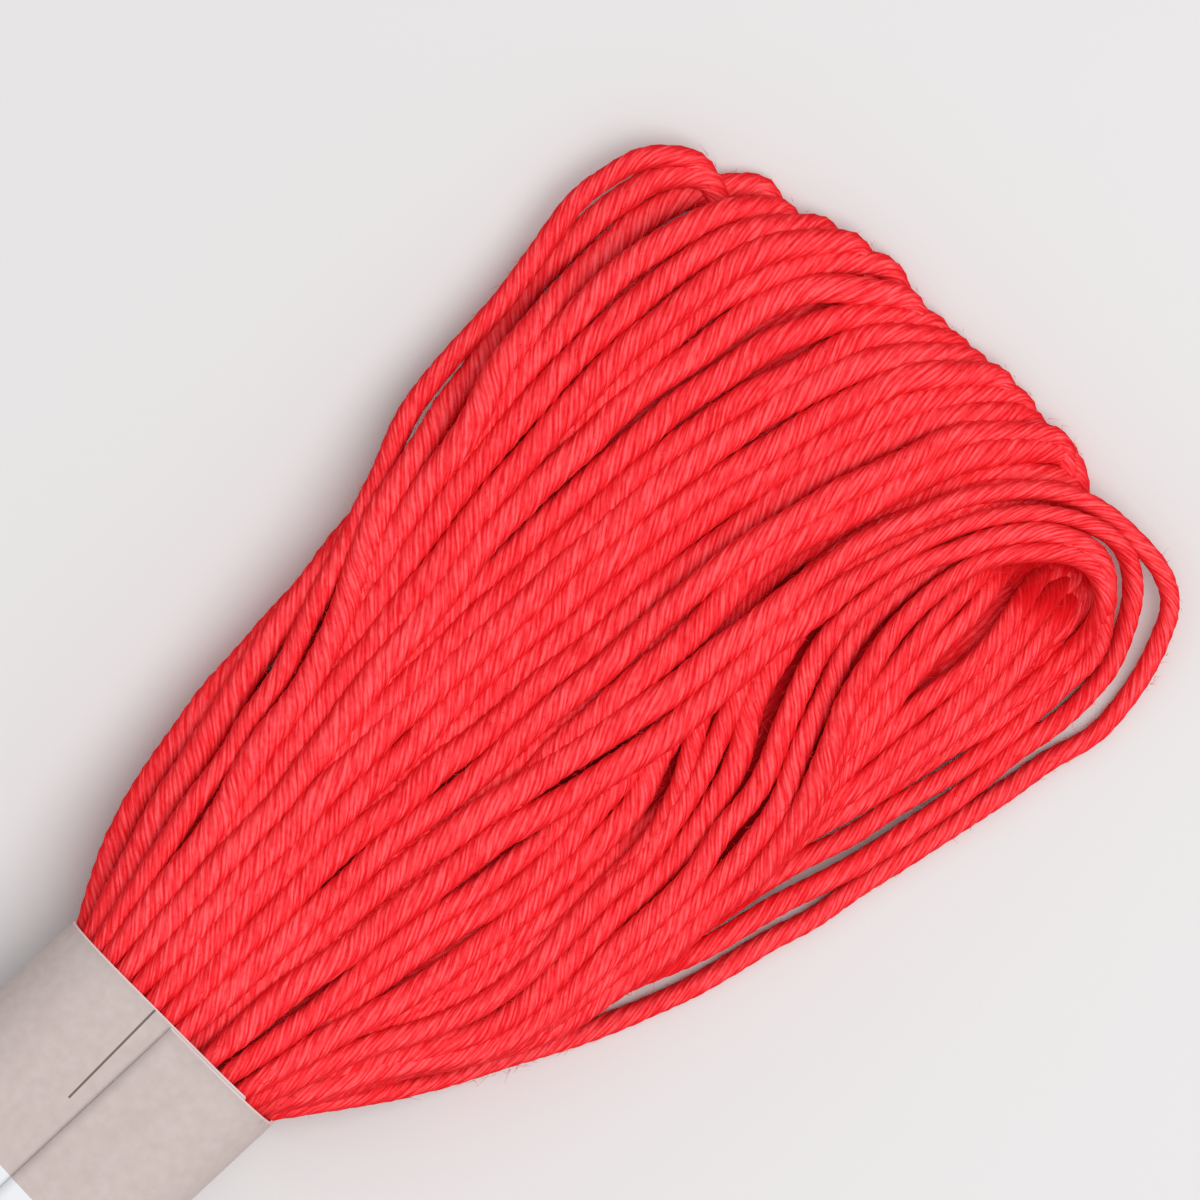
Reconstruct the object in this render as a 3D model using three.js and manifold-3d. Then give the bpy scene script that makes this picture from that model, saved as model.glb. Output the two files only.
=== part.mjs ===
// A skein of six-ply cotton thread lying flat on a table, held round its middle by a lapped paper band.
// Millimetres, +Z up. The origin is the middle of the band's flat underside, and +X runs along the
// skein to its wider loop.
import * as THREE from 'three';
import { mergeVertices } from 'three/addons/utils/BufferGeometryUtils.js';
import Module from 'manifold-3d';

const wasm = await Module();
wasm.setup();

// Driving sizes of the band
const bandLength = 38;
const bandWidth = 9.4;
const bandHeight = 6.4;
const bandLowerRadius = 2.2;
const bandUpperRadius = 2.7;
const paperThickness = 1;
const lapStep = 0.25;
const lapEdgeSide = -0.1;
const cornerSteps = 6;

// Driving sizes of the thread
const threadDiameter = 0.8;
const grooveDepth = 0.45 * threadDiameter;
const foldBump = 0.3 * threadDiameter;
const leastHeight = 0.1;
const neckInset = 1.2;
const pointsPerRidge = 2;
const sectionsPerRow = 2;
const foldSections = 8;
const mergeDistance = 1e-5;

// The second loop is the same winding, a little shorter and less spread once it is clear of the band
const wideLoop = { direction: 1, reachScale: 1, sideScale: 1 };
const plainLoop = { direction: -1, reachScale: 0.95, sideScale: 0.86 };
const fullSpreadReach = 8;

const threadRed = new THREE.MeshStandardMaterial({ color: 0xd8202c, roughness: 0.9, metalness: 0 });
const paperBeige = new THREE.MeshStandardMaterial({ color: 0xcbc1b9, roughness: 0.8, metalness: 0 });

function table(columns, rows) {
  return rows.map((row) => Object.fromEntries(columns.map((column, index) => [column, row[index]])));
}

// One row is one section across a bundle of threads. Reach is counted outwards from the band's edge and
// side across the skein. Left and right are as seen walking outwards along the thread. Bow is how far
// the section's middle bulges outwards, base is its flat underside and crown its highest thread.
const sectionColumns = ['leftReach', 'leftSide', 'rightReach', 'rightSide', 'bow', 'base', 'crown'];

// Upper legs: they leave the band close together, spread to the left and fold down at the far end.
const upperLegs = {
  bump: foldBump,
  ridges: 13,
  squareness: 2.6,
  rows: table(sectionColumns, [
    [-2.0, 2.9, -2.0, -2.9, 0, 1.45, 5.0],
    [0.3, 2.95, 0.3, -2.95, 0, 1.45, 5.05],
    [0.9, 4.3, 0.9, -3.7, 0, 0.5, 5.5],
    [2.0, 5.5, 2.0, -3.9, 0, 0, 5.6],
    [4.0, 6.5, 4.0, -3.2, 0, 0, 5.3],
    [8.0, 7.3, 8.0, -2.0, 0, 0, 4.9],
    [12.0, 7.8, 12.0, -1.6, 0, 0, 4.6],
    [16.0, 8.4, 16.0, -2.6, 0, 0, 4.4],
    [20.0, 9.9, 20.0, -3.8, 0, 0, 4.25],
    [24.0, 10.4, 24.0, -4.5, 0, 0, 4.1],
    [28.0, 11.0, 28.0, -4.8, 0, 0, 4.0],
    [30.5, 10.7, 31.0, -5.6, 0.2, 0, 3.9],
    [31.7, 9.9, 32.8, -6.4, 0.6, 0, 3.6],
    [32.3, 9.2, 34.0, -6.9, 0.9, 0, 2.9],
    [32.6, 8.7, 34.7, -7.2, 1.0, 0, 1.7],
    [32.7, 8.4, 34.9, -7.2, 1.0, 0, 0.8],
  ]),
};

// Lower legs: they run back under the upper ones and show beside them on the right.
const lowerLegs = {
  bump: 0,
  ridges: 10,
  squareness: 2.8,
  rows: table(sectionColumns, [
    [-2.0, 2.8, -2.0, -2.9, 0, 1.45, 4.9],
    [0.3, 2.9, 0.3, -2.95, 0, 1.45, 5.0],
    [0.9, 3.0, 0.9, -4.4, 0, 0.5, 5.4],
    [2.0, 2.5, 2.0, -5.8, 0, 0, 5.3],
    [4.0, 2.0, 4.0, -6.9, 0, 0, 4.8],
    [8.0, 1.5, 8.0, -8.9, 0, 0, 4.2],
    [12.0, 0.5, 12.0, -10.8, 0, 0, 3.5],
    [16.0, 0.0, 16.0, -12.0, 0, 0, 3.0],
    [20.0, -0.5, 20.0, -12.8, 0, 0, 2.7],
    [24.0, -1.0, 24.0, -13.6, 0, 0, 2.35],
    [27.0, -1.5, 27.0, -14.0, 0, 0, 2.05],
    [29.3, -2.0, 29.3, -14.1, 0, 0, 1.6],
    [31.0, -2.5, 30.8, -14.0, 0, 0, 1.15],
    [32.6, -3.5, 32.0, -13.4, 0, 0, 0.75],
  ]),
};

// Turning legs: the rightmost threads swing round in the flat, about an open eye, and run back along
// the right edge.
const turningLegs = {
  bump: 0,
  ridges: 5,
  squareness: 2.6,
  rows: table(sectionColumns, [
    [12.0, 1.0, 12.0, -1.6, 0, 0, 4.5],
    [18.0, -0.8, 18.0, -3.6, 0, 0, 4.35],
    [23.0, -2.0, 23.0, -5.1, 0, 0, 4.2],
    [27.0, -2.6, 26.6, -6.4, 0, 0, 4.05],
    [31.0, -3.8, 29.2, -6.9, 0, 0, 3.85],
    [33.6, -5.4, 30.9, -7.9, 0, 0, 3.5],
    [34.8, -8.0, 31.9, -9.0, 0, 0, 3.0],
    [34.95, -10.4, 32.1, -10.1, 0, 0, 2.5],
    [34.5, -12.4, 31.6, -11.0, 0, 0, 2.15],
    [33.0, -13.7, 30.4, -11.6, 0, 0, 1.9],
    [30.6, -14.25, 28.6, -11.7, 0, 0, 1.75],
    [27.0, -14.1, 26.0, -11.4, 0, 0, 1.65],
    [22.0, -13.25, 21.8, -10.6, 0, 0, 1.6],
    [16.0, -12.0, 16.5, -9.6, 0, 0, 1.6],
    [10.0, -9.8, 11.0, -7.8, 0, 0, 1.2],
  ]),
};

// The neck inside the band, as tall and wide as the paper lets it be.
const neck = {
  bump: 0,
  ridges: 6,
  squareness: 2.8,
  rows: table(sectionColumns, [
    [neckInset - bandLength, 2.95, neckInset - bandLength, -2.95, 0, 1.45, 5.05],
    [-bandLength / 2, 3.0, -bandLength / 2, -3.0, 0, 1.4, 5.1],
    [-neckInset, 2.95, -neckInset, -2.95, 0, 1.45, 5.05],
  ]),
};

// A smooth curve through the rows, read column by column.
function sectionAt(rows, place) {
  const first = Math.min(Math.floor(place), rows.length - 2);
  const along = place - first;
  const rowAt = (index) => rows[THREE.MathUtils.clamp(index, 0, rows.length - 1)];
  const [before, start, end, after] = [-1, 0, 1, 2].map((offset) => rowAt(first + offset));
  const section = {};
  for (const column of sectionColumns) {
    const slopeIn = (end[column] - before[column]) / 2;
    const slopeOut = (after[column] - start[column]) / 2;
    const rise = end[column] - start[column];
    const square = 3 * rise - 2 * slopeIn - slopeOut;
    const cube = slopeIn + slopeOut - 2 * rise;
    section[column] = start[column] + along * (slopeIn + along * (square + along * cube));
  }
  section.base = Math.max(section.base, 0);
  return section;
}

// The ridged arch of one section, from its left edge over the crown to its right edge. Where the threads
// fold at the far end, each ridge also stands out a little.
function archPoints(section, bundle, loop, folding) {
  const count = bundle.ridges * pointsPerRidge;
  const points = [];
  for (let index = 0; index <= count; index += 1) {
    const across = index / count;
    const fromMiddle = Math.abs(2 * across - 1);
    const arch = (1 - fromMiddle ** bundle.squareness) ** (1 / bundle.squareness);
    const ridge = Math.abs(Math.sin(Math.PI * bundle.ridges * across));
    const bulge = section.bow * (1 - fromMiddle ** 2) + folding * bundle.bump * ridge * arch;
    const reach = THREE.MathUtils.lerp(section.leftReach, section.rightReach, across) + bulge;
    const side = THREE.MathUtils.lerp(section.leftSide, section.rightSide, across);
    const height = section.crown - section.base - grooveDepth * (1 - ridge);
    const clearOfBand = THREE.MathUtils.clamp(reach / fullSpreadReach, 0, 1);
    points.push(new THREE.Vector3(
      loop.direction * (bandLength / 2 + reach * (reach > 0 ? loop.reachScale : 1)),
      side * THREE.MathUtils.lerp(1, loop.sideScale, clearOfBand),
      section.base + Math.max(height, leastHeight) * arch,
    ));
  }
  return points;
}

// A closed, flat-bottomed body through a bundle's sections.
function bundleGeometry(bundle, loop) {
  const sectionCount = (bundle.rows.length - 1) * sectionsPerRow + 1;
  const sections = [];
  for (let index = 0; index < sectionCount; index += 1) {
    const folding = THREE.MathUtils.smoothstep(index, sectionCount - 1 - foldSections, sectionCount - 1);
    sections.push(archPoints(sectionAt(bundle.rows, index / sectionsPerRow), bundle, loop, folding));
  }
  const perSection = sections[0].length;
  const last = perSection - 1;
  const indices = [];
  const addTriangle = (a, b, c) => indices.push(...(loop.direction > 0 ? [a, b, c] : [a, c, b]));
  for (let row = 0; row + 1 < sectionCount; row += 1) {
    const near = row * perSection;
    const far = near + perSection;
    for (let column = 0; column < last; column += 1) {
      addTriangle(near + column, near + column + 1, far + column + 1);
      addTriangle(near + column, far + column + 1, far + column);
    }
    addTriangle(near, far, far + last);
    addTriangle(near, far + last, near + last);
  }
  addCap(sections[0], 0, addTriangle, 1);
  addCap(sections.at(-1), (sectionCount - 1) * perSection, addTriangle, -1);
  const geometry = new THREE.BufferGeometry().setFromPoints(sections.flat());
  geometry.setIndex(indices);
  return geometry;
}

// Closes a bundle's first or last section, seen face on from behind.
function addCap(section, firstIndex, addTriangle, facing) {
  const outline = section.map((point, index) => new THREE.Vector2(index / section.length, point.z));
  for (const [a, b, c] of THREE.ShapeUtils.triangulateShape(outline, [])) {
    const turn = (outline[b].x - outline[a].x) * (outline[c].y - outline[a].y)
      - (outline[b].y - outline[a].y) * (outline[c].x - outline[a].x);
    const [second, third] = turn * facing > 0 ? [b, c] : [c, b];
    addTriangle(firstIndex + a, firstIndex + second, firstIndex + third);
  }
}

function toSolid(geometry) {
  const merged = mergeVertices(geometry, mergeDistance);
  return new wasm.Manifold(new wasm.Mesh({
    numProp: 3,
    vertProperties: Float32Array.from(merged.attributes.position.array),
    triVerts: Uint32Array.from(merged.index.array),
  }));
}

function toGeometry(solid) {
  const mesh = solid.getMesh();
  const geometry = new THREE.BufferGeometry();
  geometry.setAttribute('position', new THREE.BufferAttribute(mesh.vertProperties, mesh.numProp));
  geometry.setIndex(new THREE.BufferAttribute(mesh.triVerts, 1));
  geometry.computeVertexNormals();
  return geometry;
}

// All the thread: the neck and, at each end of it, a loop of upper, lower and turning legs.
function makeSkein() {
  let solid = toSolid(bundleGeometry(neck, wideLoop));
  for (const loop of [wideLoop, plainLoop]) {
    for (const bundle of [lowerLegs, upperLegs, turningLegs]) {
      solid = solid.add(toSolid(bundleGeometry(bundle, loop)));
    }
  }
  const skein = new THREE.Mesh(toGeometry(solid), threadRed);
  skein.name = 'skein';
  return skein;
}

// A flat oval: flat underneath, flat on top, with wide round corners.
function ovalPoints(inset, lap) {
  const halfWidth = bandWidth / 2 - inset;
  const corners = table(['side', 'height', 'radius', 'startAngle'], [
    [1, 0, bandLowerRadius, -Math.PI / 2],
    [1, 1, bandUpperRadius, 0],
    [-1, 1, bandUpperRadius, Math.PI / 2],
    [-1, 0, bandLowerRadius, Math.PI],
  ]);
  const points = [];
  for (const corner of corners) {
    const radius = corner.radius - inset;
    const centreY = corner.side * (halfWidth - radius);
    const centreZ = corner.height > 0 ? bandHeight - inset - radius : inset + radius;
    for (let step = 0; step <= cornerSteps; step += 1) {
      const angle = corner.startAngle + (step / cornerSteps) * (Math.PI / 2);
      const lift = lap * THREE.MathUtils.smoothstep(-centreY, 0, halfWidth) * Math.max(Math.sin(angle), 0);
      points.push(new THREE.Vector2(
        centreY + radius * Math.cos(angle),
        centreZ + radius * Math.sin(angle) + lift,
      ));
    }
    if (lap > 0 && corner.height > 0 && corner.side > 0) {
      points.push(new THREE.Vector2(lapEdgeSide, bandHeight));
      points.push(new THREE.Vector2(lapEdgeSide, bandHeight + lap));
    }
  }
  return points;
}

// The paper band: one strip wrapped round the neck, with the edge of its outer layer standing on top.
function makeBand() {
  const outline = new THREE.Shape(ovalPoints(0, lapStep));
  outline.holes.push(new THREE.Path(ovalPoints(paperThickness, 0)));
  const geometry = new THREE.ExtrudeGeometry(outline, { depth: bandLength, bevelEnabled: false });
  const band = new THREE.Mesh(geometry, paperBeige);
  band.name = 'band';
  band.rotation.set(Math.PI / 2, 0, Math.PI / 2, 'ZYX');
  band.position.x = -bandLength / 2;
  return band;
}

const group = new THREE.Group();
group.add(makeSkein(), makeBand());

export default group;
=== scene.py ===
import math

import bpy
import numpy as np
from mathutils import Matrix, Vector


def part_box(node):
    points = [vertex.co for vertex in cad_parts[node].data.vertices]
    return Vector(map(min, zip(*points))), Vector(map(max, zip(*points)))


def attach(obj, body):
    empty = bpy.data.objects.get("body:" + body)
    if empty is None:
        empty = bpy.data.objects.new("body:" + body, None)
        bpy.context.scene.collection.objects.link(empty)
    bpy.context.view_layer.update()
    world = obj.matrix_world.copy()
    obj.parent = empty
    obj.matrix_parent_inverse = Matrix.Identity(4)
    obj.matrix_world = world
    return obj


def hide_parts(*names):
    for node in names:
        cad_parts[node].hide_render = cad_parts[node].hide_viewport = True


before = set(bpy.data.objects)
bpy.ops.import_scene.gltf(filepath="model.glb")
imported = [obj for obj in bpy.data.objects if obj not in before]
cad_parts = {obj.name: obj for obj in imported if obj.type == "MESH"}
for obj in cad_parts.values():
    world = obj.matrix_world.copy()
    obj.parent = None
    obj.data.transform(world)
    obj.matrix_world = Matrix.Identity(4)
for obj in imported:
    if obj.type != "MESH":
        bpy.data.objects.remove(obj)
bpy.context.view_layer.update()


# Camera
# The skein is seen from straight above, its length running up to the right across the picture.
# At SCALE_HEIGHT it covers a 40 mm square round the fanned loop, so the band is cut off at the lower left.
MM = 0.001
HALF_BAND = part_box("band")[1][0] / MM
PICTURE_WIDTH = 40.0
PICTURE_TILT = math.radians(43.0)
PICTURE_MIDDLE = (HALF_BAND + 20.0, 0.58)
CAMERA_HEIGHT = 400.0
SCALE_HEIGHT = 2.5
NEAREST_SEEN = 10.0
SENSOR_WIDTH = 36.0

camera_data = bpy.data.cameras.new("camera")
camera_data.sensor_width = SENSOR_WIDTH
camera_data.lens = SENSOR_WIDTH * (CAMERA_HEIGHT - SCALE_HEIGHT) / PICTURE_WIDTH
camera_data.clip_start = NEAREST_SEEN * MM
camera = bpy.data.objects.new("camera", camera_data)
camera.matrix_world = (
    Matrix.Translation(Vector((*PICTURE_MIDDLE, CAMERA_HEIGHT)) * MM)
    @ Matrix.Rotation(-PICTURE_TILT, 4, "Z")
)
bpy.context.collection.objects.link(camera)
bpy.context.scene.camera = camera
bpy.context.scene.view_settings.view_transform = "Standard"


# Thread, the routes of its turns
# One length of soft cotton thread wound into a flat skein. Each turn leaves the band as an upper leg, bends
# round at the far end and comes back as a lower leg. Reach is counted in millimetres outwards from the
# band's edge, side is across the skein, and level is the height in the band, from -1 to 1.
OUT_REACHES = (0.0, 4.0, 8.0, 12.0, 16.0, 20.0, 25.0, 28.0, 30.5)
CROSSING_REACHES = (0.0, 4.0, 8.0, 12.0, 16.0, 18.0, 20.0, 22.0, 25.0, 28.0, 30.5)
BACK_REACHES = (30.5, 25.0, 20.0, 15.0, 10.0, 5.0, 0.0)

# The fan: threads that run over the far end and dip under their neighbours. Lowest first.
# Columns: level in the band, side at each of OUT_REACHES, then the reach and side of the tip.
FAN = {
    "edge_low": (1.0, (4.3, 6.0, 6.95, 7.4, 7.95, 7.9, 7.6, 7.5, 7.1), (32.9, 6.3)),
    "edge_high": (1.0, (3.9, 5.2, 6.3, 7.2, 7.9, 7.3, 6.6, 6.4, 6.0), (33.3, 4.9)),
    "fan_4": (0.2, (2.6, 3.2, 3.9, 4.9, 6.3, 7.3, 8.03, 8.08, 7.65), (33.4, 5.9)),
    "fan_5": (0.2, (2.9, 3.5, 4.2, 5.05, 5.9, 6.6, 7.1, 7.05, 6.72), (34.0, 4.6)),
    "fan_3": (0.3, (2.9, 3.3, 4.2, 5.35, 6.7, 7.6, 8.9, 8.97, 8.7), (33.45, 7.1)),
    "fan_6_low": (0.5, (2.4, 2.9, 3.4, 4.1, 4.7, 5.2, 5.55, 5.42, 5.02), (34.65, 2.1)),
    "fan_6": (0.7, (2.5, 3.05, 3.7, 4.5, 5.05, 5.58, 6.1, 6.02, 5.7), (34.35, 3.4)),
    "fan_8": (0.7, (1.95, 2.35, 2.8, 3.45, 3.65, 3.68, 3.57, 3.3, 2.75), (34.5, -0.2)),
    "fan_9": (0.7, (1.85, 2.2, 2.6, 2.9, 2.95, 2.88, 2.68, 2.25, 1.6), (34.6, -1.2)),
    "fan_12": (0.7, (0.6, 0.75, 0.8, 0.75, 0.65, 0.45, 0.1, -0.5, -1.15), (34.85, -3.9)),
    "fan_14_low": (0.6, (-0.9, -1.0, -1.2, -1.5, -1.65, -1.7, -2.05, -2.6, -3.3), (34.85, -6.1)),
    "fan_15": (0.7, (-1.2, -1.6, -2.2, -2.4, -2.15, -2.3, -2.3, -2.95, -3.7), (34.75, -6.5)),
    "fan_2": (1.0, (2.95, 3.55, 4.5, 5.55, 7.35, 8.5, 9.75, 10.02, 9.8), (32.3, 8.5)),
    "fan_7": (1.0, (2.28, 2.6, 2.95, 3.7, 4.25, 4.65, 4.72, 4.5, 4.1), (34.4, 0.9)),
    "fan_10": (1.0, (1.6, 1.85, 2.12, 2.22, 2.2, 2.13, 1.83, 1.35, 0.75), (34.65, -2.1)),
    "fan_11": (1.0, (0.9, 1.12, 1.25, 1.35, 1.4, 1.33, 0.95, 0.4, -0.25), (34.85, -3.0)),
    "fan_13": (1.0, (0.2, 0.33, 0.38, 0.15, -0.05, -0.4, -0.75, -1.3, -2.0), (34.7, -4.8)),
    "fan_14": (1.0, (-0.5, -0.5, -0.55, -0.85, -1.0, -1.2, -1.6, -2.2, -2.9), (34.9, -5.7)),
    "fan_1": (1.0, (3.45, 4.45, 5.35, 6.5, 8.05, 9.5, 10.25, 10.72, 10.55), (32.45, 9.0)),
}

# The herringbone: threads that swing out to the right and slip back in under the crossing ones.
# Columns as for the fan, but with the side at each of CROSSING_REACHES.
HERRINGBONE = {
    "slip_1": (1.0, (-2.5, -3.0, -3.25, -3.85, -3.9, -3.65, -3.3, -2.95, -2.8, -3.4, -4.3), (34.3, -7.4)),
    "slip_2": (0.5, (-2.9, -3.45, -3.95, -4.6, -4.35, -4.0, -3.7, -3.6, -3.6, -4.0, -4.9), (33.9, -7.6)),
    "slip_3": (1.0, (-3.2, -4.0, -4.9, -5.35, -5.2, -4.65, -4.2, -3.9, -3.9, -4.4, -5.2), (33.6, -8.0)),
    "slip_3_low": (0.5, (-3.3, -4.3, -5.4, -6.05, -6.0, -5.8, -4.9, -4.3, -4.1, -4.6, -5.4), (33.5, -8.1)),
    "slip_4": (0.4, (-3.5, -4.5, -5.9, -6.5, -6.35, -5.65, -4.5, -4.1, -4.0, -4.6, -5.5), (33.4, -8.3)),
    "slip_5": (1.0, (-3.6, -4.95, -6.65, -6.8, -6.65, -6.12, -5.3, -4.5, -4.2, -4.8, -5.7), (33.3, -8.7)),
    "slip_6": (0.5, (-3.8, -5.5, -7.35, -7.5, -7.42, -6.98, -6.27, -5.05, -4.3, -4.8, -5.85), (33.2, -9.1)),
}

# The turning threads: they swing round the open eye of the loop in the flat. Lowest first. Columns: level,
# side at each of CROSSING_REACHES, the bend as (reach, side) points, and side at each of BACK_REACHES.
TURNING = {
    "eye_5": (0.0, (-3.9, -6.0, -8.1, -9.0, -9.5, -9.7, -9.9, -10.2, -10.6, -10.7, -10.35),
              ((31.9, -10.15), (32.6, -10.4), (32.1, -10.8)),
              (-10.9, -10.3, -9.6, -8.8, -7.2, -5.2, -3.6)),
    "eye_4": (0.0, (-3.9, -5.9, -7.9, -8.8, -9.4, -9.5, -9.6, -9.8, -10.05, -10.0, -9.7),
              ((31.6, -9.45), (32.7, -9.75), (32.4, -10.4)),
              (-10.5, -10.0, -9.4, -8.7, -7.1, -5.1, -3.6)),
    "eye_low": (0.0, (-3.8, -5.3, -7.1, -8.4, -9.2, -9.3, -9.2, -9.0, -8.85, -8.85, -8.6),
                ((31.4, -8.5), (32.6, -9.0), (32.6, -10.2)),
                (-10.5, -10.1, -9.3, -8.6, -7.0, -5.0, -3.5)),
    "eye_3": (0.0, (-3.9, -5.5, -7.4, -8.6, -9.2, -9.3, -9.3, -9.15, -9.22, -9.35, -9.05),
              ((31.45, -8.85), (32.7, -9.3), (32.6, -10.3)),
              (-10.6, -9.9, -9.2, -8.6, -7.0, -5.0, -3.5)),
    "eye_2": (0.0, (-3.8, -5.1, -6.8, -8.3, -9.2, -9.4, -9.3, -8.85, -8.4, -8.4, -7.95),
              ((31.4, -7.95), (32.6, -8.7), (32.6, -10.3)),
              (-10.7, -9.8, -9.0, -8.4, -6.9, -4.9, -3.4)),
    "eye_1": (0.0, (-3.7, -4.7, -6.2, -7.8, -9.1, -9.3, -9.2, -8.6, -7.8, -7.6, -7.25),
              ((31.5, -7.4), (32.7, -8.5), (32.5, -10.3)),
              (-10.6, -9.7, -8.8, -8.2, -6.8, -4.9, -3.4)),
    "arch_1": (0.2, (-3.9, -5.9, -8.1, -8.75, -8.95, -8.8, -8.4, -7.45, -6.22, -6.02, -6.68),
               ((31.5, -7.35), (32.3, -8.05), (32.85, -8.9), (33.0, -9.75), (32.72, -10.5), (32.1, -11.05)),
               (-11.6, -11.05, -9.9, -8.95, -7.7, -5.6, -3.8)),
    "arch_2": (0.1, (-3.95, -6.0, -8.3, -9.3, -9.75, -9.6, -9.2, -8.35, -7.1, -6.9, -7.4),
               ((31.3, -7.9), (32.0, -8.5), (32.6, -9.2), (32.82, -9.85), (32.68, -10.45), (32.1, -11.0)),
               (-11.45, -10.8, -9.6, -8.8, -7.3, -5.4, -3.7)),
    "loop_3": (0.7, (-3.85, -5.9, -8.1, -8.3, -8.3, -7.97, -7.4, -6.43, -5.55, -5.7, -6.6),
               ((31.6, -7.3), (32.45, -7.95), (33.0, -8.8), (33.18, -9.65), (32.85, -10.42), (32.1, -11.1)),
               (-12.1, -11.72, -10.6, -9.6, -8.2, -6.1, -3.95)),
    "cross_1": (0.75, (-1.0, -1.15, -1.4, -1.95, -2.65, -3.0, -3.3, -3.52, -3.68, -4.12, -4.9),
                ((32.2, -5.9), (33.5, -7.1), (34.25, -8.6), (34.45, -10.1), (34.35, -11.6), (33.6, -12.85)),
                (-13.9, -13.3, -12.4, -11.3, -9.8, -7.4, -4.1)),
    "cross_2": (1.0, (-1.7, -1.95, -2.35, -2.95, -3.7, -4.0, -4.22, -4.4, -4.52, -4.95, -5.8),
                ((32.0, -6.7), (33.15, -7.75), (33.78, -9.0),
                 (33.97, -10.0), (33.7, -10.85), (32.95, -11.68)),
                (-12.85, -12.5, -11.65, -10.37, -8.6, -6.6, -4.05)),
}

# Buried turns show only in the height that they give to the rest. They lie evenly between two edges.
BURIED_TURNS = 30
BURIED_LEVELS = (0.1, 0.3, 0.5)
BURIED_LEFT = (3.5, 4.6, 5.5, 6.2, 6.9, 7.4, 7.4, 7.2, 6.7)
BURIED_RIGHT = (-3.5, -4.8, -6.6, -8.4, -9.2, -9.6, -9.8, -9.8, -9.5)
BURIED_TIP_SIDES = (6.0, 3.5, 0.0, -3.5, -6.5, -8.0, -9.5)
BURIED_TIP_REACHES = (32.6, 33.5, 34.0, 34.2, 33.6, 31.0, 29.8)

# A thread swings over to its tip along RUN_SHARES of the way, hooks sideways past it, less far where the tip
# is out to the right of SLIP_SIDE, and sets off on its way back.
RUN_SHARES = (0.45, 0.8)
RUN_SWING = 1.7
FAN_HOOK = 1.1
SLIP_HOOK = 0.5
SLIP_SIDE = -6.9
HOOK_SETBACK = 0.45
RETURN_SETBACK = 1.6
RETURN_HOOKS = 1.7

# The lower legs of those threads lie between these two edges, at BACK_REACHES: on the left one where the
# upper leg is at LOWER_FROM at reach 25, and on the right one where it is LOWER_SPREAD further right.
LOWER_LEFT = (7.4, 7.2, 7.0, 7.1, 7.1, 6.4, 4.0)
LOWER_RIGHT = (-8.5, -8.6, -9.0, -8.9, -7.6, -5.6, -3.9)
LOWER_FROM = 9.0
LOWER_SPREAD = 14.0

LAYING_ORDER = ("buried", "eye", "slip", "edge", "fan", "arch", "loop", "cross")


def between(left, right, share):
    return tuple(a + (b - a) * share for a, b in zip(left, right))


def buried_tip(share):
    side = BURIED_TIP_SIDES[0] + (BURIED_TIP_SIDES[-1] - BURIED_TIP_SIDES[0]) * share
    return np.interp(-side, np.negative(BURIED_TIP_SIDES), BURIED_TIP_REACHES), side


def tip_turn(out, tip, share):
    """Run, bend and way back of a thread that dips under its neighbours just past its tip."""
    tip_reach, tip_side = tip
    start_reach, start_side = out[-1]
    hook = SLIP_HOOK if tip_side < SLIP_SIDE else FAN_HOOK
    run = []
    for part in RUN_SHARES:
        reach = start_reach + (tip_reach - start_reach) * part
        run.append((reach, start_side + (tip_side - start_side) * part**RUN_SWING))
    bend = ((tip_reach, tip_side), (tip_reach - HOOK_SETBACK, tip_side - hook))
    back = [(tip_reach - RETURN_SETBACK, tip_side - RETURN_HOOKS * hook)]
    back += zip(BACK_REACHES[1:], between(LOWER_LEFT, LOWER_RIGHT, share)[1:])
    return run, bend, back


def list_turns():
    """Every turn of a loop in the order of laying, its route as (reach, side) points."""
    turns = []

    def add_turn(name, level, out, bend, back):
        turns.append(dict(name=name, kind=name.split("_")[0], level=level, out=out, bend=bend, back=back))

    buried = {}
    for number in range(BURIED_TURNS):
        share = (number + 0.5) / BURIED_TURNS
        level = BURIED_LEVELS[number % len(BURIED_LEVELS)]
        buried[f"buried_{number}"] = (level, between(BURIED_LEFT, BURIED_RIGHT, share), buried_tip(share))
    for name, (level, sides, tip) in {**buried, **HERRINGBONE, **FAN}.items():
        out = [*zip(CROSSING_REACHES if name in HERRINGBONE else OUT_REACHES, sides)]
        share = np.clip((LOWER_FROM - sides[-3]) / LOWER_SPREAD, 0.0, 1.0)
        run, bend, back = tip_turn(out, tip, share)
        add_turn(name, level, out + run, bend, back)
    for name, (level, sides, bend, back) in TURNING.items():
        add_turn(name, level, [*zip(CROSSING_REACHES, sides)], bend, [*zip(BACK_REACHES, back)])
    return sorted(turns, key=lambda turn: LAYING_ORDER.index(turn["kind"]))


# Thread, how the turns lie
# Each leg is dropped on what already lies there, as a soft cord that spans small hollows, so that
# crossings and stacks come out of the order of laying. Lower legs go first, then the upper ones.
THREAD_RADIUS = 0.38
ROUTE_STEP = 0.25

# The heap is kept on a grid. A thread rests on it over SUPPORT_SPREAD, is drawn straight over small hollows
# in SPANNING rounds, and raises it over WHOLE_SPREAD, in steps FINER times as fine as its own.
PILE_CELL = 0.1
PILE_LOW = np.array((-4.0, -17.0))
PILE_SIZE = (430, 320)
SUPPORT_SPREAD = np.linspace(-0.75, 0.75, 7) * THREAD_RADIUS
WHOLE_SPREAD = np.linspace(-1.0, 1.0, 15) * THREAD_RADIUS
FINER = 4
SPANNING = 250

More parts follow.
